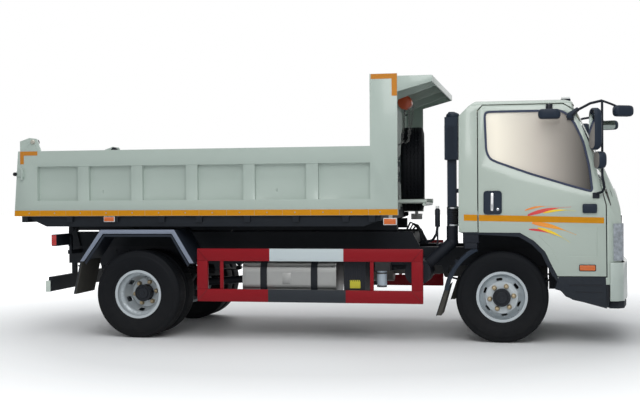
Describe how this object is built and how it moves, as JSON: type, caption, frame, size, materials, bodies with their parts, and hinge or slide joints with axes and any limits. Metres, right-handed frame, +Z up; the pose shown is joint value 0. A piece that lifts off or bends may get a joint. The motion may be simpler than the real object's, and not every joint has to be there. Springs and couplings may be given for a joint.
{
  "type": "dump truck",
  "caption": "Light two-axle dump truck with tilting cab, tipping steel body, headboard hood, spare wheel, side guards and twin rear wheels.",
  "frame": {"origin": "on the ground, in the middle of the truck's length and width", "axes": "+X forward, +Y to the left, +Z up"},
  "size_m": [5.9873, 2.42, 2.515],
  "materials": {
    "chassis_black": "satin",
    "subframe_black": "satin",
    "engine_grey": "matt",
    "spring_steel": "matt",
    "tank_aluminium": "brushed",
    "strap_black": "satin",
    "black_plastic": "matt",
    "filter_pale": "satin",
    "exhaust_steel": "matt",
    "guard_red": "satin",
    "fender_black": "satin",
    "lamp_red": "gloss",
    "cab_paint": "gloss",
    "tinted_glass": "gloss",
    "grille_black": "satin",
    "lamp_clear": "gloss",
    "bumper_white": "satin",
    "trim_grey": "matt",
    "seat_fabric": "woven",
    "tyre_rubber": "matt",
    "rim_silver": "satin",
    "body_paint": "satin",
    "carrier_white": "satin",
    "hoist_orange": "gloss",
    "rod_chrome": "polished"
  },
  "bodies": {
    "chassis": {"ladder_frame": "chassis_black", "tipper_subframe": "subframe_black", "engine": "engine_grey", "gearbox": "engine_grey", "propshaft": "chassis_black", "front_axle": "chassis_black", "rear_axle": "chassis_black", "leaf_springs": "spring_steel", "fuel_tank": "tank_aluminium", "tank_straps": "strap_black", "battery_box": "black_plastic", "fuel_filter": "filter_pale", "air_cleaner": "black_plastic", "silencer": "exhaust_steel", "guard_rails_right": "guard_red", "guard_rails_left": "guard_red", "guard_posts_right": "guard_red", "guard_posts_left": "guard_red", "rear_fenders": "fender_black", "underrun_bar": "chassis_black", "rear_lamps": "lamp_red", "front_mudguards": "black_plastic"},
    "cab": {"cab_shell": "cab_paint", "cab_glass": "tinted_glass", "grille_panel": "grille_black", "headlamps": "lamp_clear", "front_bumper": "bumper_white", "step_panels": "black_plastic", "dashboard": "trim_grey", "seats": "seat_fabric", "snorkel": "black_plastic"},
    "steering_wheel": {"steering_wheel": "black_plastic"},
    "door_right": {"door_right": "cab_paint", "door_right_glass": "tinted_glass", "mirrors_right": "black_plastic"},
    "door_left": {"door_left": "cab_paint", "door_left_glass": "tinted_glass", "mirrors_left": "black_plastic"},
    "knuckle_right": {"knuckle_right": "chassis_black"},
    "knuckle_left": {"knuckle_left": "chassis_black"},
    "front_wheel_right": {"front_tyre_right": "tyre_rubber", "front_rim_right": "rim_silver"},
    "front_wheel_left": {"front_tyre_left": "tyre_rubber", "front_rim_left": "rim_silver"},
    "rear_wheels_right": {"rear_tyres_right": "tyre_rubber", "rear_rims_right": "rim_silver"},
    "rear_wheels_left": {"rear_tyres_left": "tyre_rubber", "rear_rims_left": "rim_silver"},
    "dump_body": {"bed_floor": "subframe_black", "bed_sides": "body_paint", "headboard": "body_paint", "spare_tyre": "tyre_rubber", "spare_rim": "rim_silver", "spare_carrier": "carrier_white", "chain_hoist": "hoist_orange"},
    "tailgate": {"tailgate": "body_paint"},
    "hoist_tube": {"hoist_tube": "chassis_black"},
    "hoist_rod": {"hoist_rod": "rod_chrome"}
  },
  "joints": [
    {"name": "cab_tilt", "type": "hinge", "parent": "chassis", "child": "cab", "pos_m": [2.6975, 0, 0.64], "axis": [0, 1, 0], "range_deg": [0, 45]},
    {"name": "door_right_hinge", "type": "hinge", "parent": "cab", "child": "door_right", "pos_m": [2.7355, -0.982, 0.95], "axis": [0, 0, 1], "range_deg": [0, 68]},
    {"name": "door_left_hinge", "type": "hinge", "parent": "cab", "child": "door_left", "pos_m": [2.7355, 0.982, 0.95], "axis": [0, 0, -1], "range_deg": [0, 68]},
    {"name": "steer_right", "type": "hinge", "parent": "chassis", "child": "knuckle_right", "pos_m": [1.8175, -0.645, 0.4275], "axis": [0, 0, 1], "range_deg": [-32, 32]},
    {"name": "steer_left", "type": "hinge", "parent": "chassis", "child": "knuckle_left", "pos_m": [1.8175, 0.645, 0.4275], "axis": [0, 0, 1], "range_deg": [-32, 32]},
    {"name": "steering_wheel_turn", "type": "hinge", "parent": "cab", "child": "steering_wheel", "pos_m": [2.4375, 0.48, 1.304], "axis": [-0.8192, 0, 0.5736], "range_deg": [-352, 352]},
    {"name": "front_right_roll", "type": "hinge", "parent": "knuckle_right", "child": "front_wheel_right", "pos_m": [1.8175, -0.8, 0.4275], "axis": [0, 1, 0], "continuous": true},
    {"name": "front_left_roll", "type": "hinge", "parent": "knuckle_left", "child": "front_wheel_left", "pos_m": [1.8175, 0.8, 0.4275], "axis": [0, 1, 0], "continuous": true},
    {"name": "rear_right_roll", "type": "hinge", "parent": "chassis", "child": "rear_wheels_right", "pos_m": [-1.7025, -0.825, 0.4275], "axis": [0, 1, 0], "continuous": true},
    {"name": "rear_left_roll", "type": "hinge", "parent": "chassis", "child": "rear_wheels_left", "pos_m": [-1.7025, 0.825, 0.4275], "axis": [0, 1, 0], "continuous": true},
    {"name": "body_tip", "type": "hinge", "parent": "chassis", "child": "dump_body", "pos_m": [-2.6625, 0, 1.05], "axis": [0, -1, 0], "range_deg": [0, 45]},
    {"name": "tailgate_swing", "type": "hinge", "parent": "dump_body", "child": "tailgate", "pos_m": [-2.7905, 0, 1.937], "axis": [0, 1, 0], "range_deg": [0, 70]},
    {"name": "hoist_swing", "type": "hinge", "parent": "chassis", "child": "hoist_tube", "pos_m": [-2.1025, 0, 0.902], "axis": [0, -1, 0], "range_deg": [0, 55.84]},
    {"name": "hoist_stroke", "type": "slide", "parent": "hoist_tube", "child": "hoist_rod", "axis": [0.9897, 0, 0.1431], "range_m": [0, 0.3462]}
  ],
  "couplings": [
    {"joint": "steer_left", "follows": "steer_right", "ratio": 1},
    {"joint": "steering_wheel_turn", "follows": "steer_right", "ratio": 11},
    {"joint": "hoist_swing", "follows": "body_tip", "ratio": 1.2397},
    {"joint": "hoist_stroke", "follows": "body_tip", "m_per_rad": 0.44016}
  ]
}
